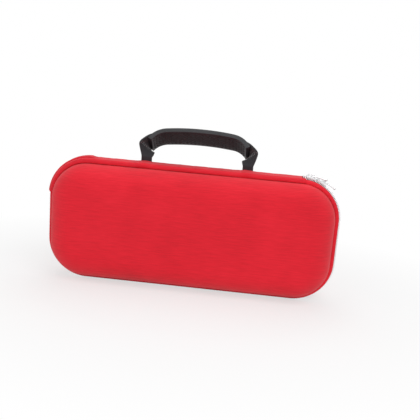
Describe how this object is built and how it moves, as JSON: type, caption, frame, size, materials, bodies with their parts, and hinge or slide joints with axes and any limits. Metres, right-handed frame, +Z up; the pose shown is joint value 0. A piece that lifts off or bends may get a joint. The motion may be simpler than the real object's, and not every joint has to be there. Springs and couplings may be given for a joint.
{
  "type": "stethoscope hard case",
  "caption": "Slim rounded hard case in two moulded fabric halves with a zip, a fabric hinge along the top, a carrying handle, inner straps and a net pocket.",
  "frame": {"origin": "on the floor under the middle of the case, in the plane of the zip", "axes": "+X along the case to the right, -Y out of the front half, +Z up from the long edge it stands on"},
  "size_m": [0.29, 0.069, 0.1588],
  "materials": {
    "red_fabric": "woven polyester, matt",
    "foam": "moulded closed-cell foam",
    "lining": "knitted velour, matt",
    "binding": "ribbed nylon tape",
    "zip_tape": "herringbone tape",
    "zip_teeth": "bright silver",
    "nickel": "polished nickel",
    "rubber_grip": "satin moulded rubber",
    "webbing": "woven webbing",
    "elastic": "ribbed elastic",
    "net": "knitted net"
  },
  "bodies": {
    "rear_half": {"rear_cover": "red_fabric", "rear_shell": "foam", "rear_lining": "lining", "rear_binding": "binding", "rear_zip_tape": "zip_tape", "rear_zip_coil": "zip_teeth", "rear_zip_stops": "nickel", "corner_zip_tape": "zip_tape", "corner_zip_coil": "zip_teeth", "rear_hinge_band": "red_fabric", "rear_hinge_tape": "binding", "elastic_strap_left": "elastic", "elastic_strap_right": "elastic", "strap_tacks": "webbing", "handle_anchor_left": "webbing", "handle_anchor_right": "webbing"},
    "hinge": {"hinge_strip": "red_fabric", "hinge_facing": "binding"},
    "front_half": {"front_cover": "red_fabric", "front_shell": "foam", "front_lining": "lining", "front_binding": "binding", "front_zip_tape": "zip_tape", "front_zip_coil": "zip_teeth", "front_zip_stop": "nickel", "front_hinge_band": "red_fabric", "front_hinge_tape": "binding", "pocket_net": "net", "pocket_trim": "binding", "pocket_hem": "elastic"},
    "handle": {"handle_grip": "rubber_grip", "handle_webbing_left": "webbing", "handle_webbing_right": "webbing"},
    "upper_slider": {"upper_slider_body": "nickel", "upper_slider_bridge": "nickel"},
    "lower_slider": {"lower_slider_body": "nickel", "lower_slider_bridge": "nickel"},
    "upper_pull": {"upper_pull": "nickel"},
    "lower_pull": {"lower_pull": "nickel"}
  },
  "joints": [
    {"name": "rear_fold", "type": "hinge", "parent": "rear_half", "child": "hinge", "pos_m": [0, 0.0048, 0.1241], "axis": [-1, 0, 0], "range_deg": [0, 50]},
    {"name": "front_fold", "type": "hinge", "parent": "hinge", "child": "front_half", "pos_m": [0, -0.0048, 0.1241], "axis": [-1, 0, 0], "range_deg": [0, 50]},
    {"name": "handle_swing", "type": "hinge", "parent": "rear_half", "child": "handle", "pos_m": [0, 0.008, 0.1286], "axis": [-1, 0, 0], "range_deg": [-40, 30]},
    {"name": "upper_slider_travel", "type": "hinge", "parent": "rear_half", "child": "upper_slider", "pos_m": [0.104, 0, 0.084], "axis": [0, 1, 0], "range_deg": [-1.8, 0.6]},
    {"name": "lower_slider_travel", "type": "hinge", "parent": "rear_half", "child": "lower_slider", "pos_m": [0.104, 0, 0.084], "axis": [0, 1, 0], "range_deg": [0, 54]},
    {"name": "upper_pull_swing", "type": "hinge", "parent": "upper_slider", "child": "upper_pull", "pos_m": [0.11262, 0, 0.12641], "axis": [0, 1, 0], "range_deg": [-140, 0]},
    {"name": "lower_pull_swing", "type": "hinge", "parent": "lower_slider", "child": "lower_pull", "pos_m": [0.1233, 0, 0.12273], "axis": [0, 1, 0], "range_deg": [-100, 0]}
  ],
  "couplings": [
    {"joint": "rear_fold", "follows": "front_fold", "ratio": 1}
  ]
}
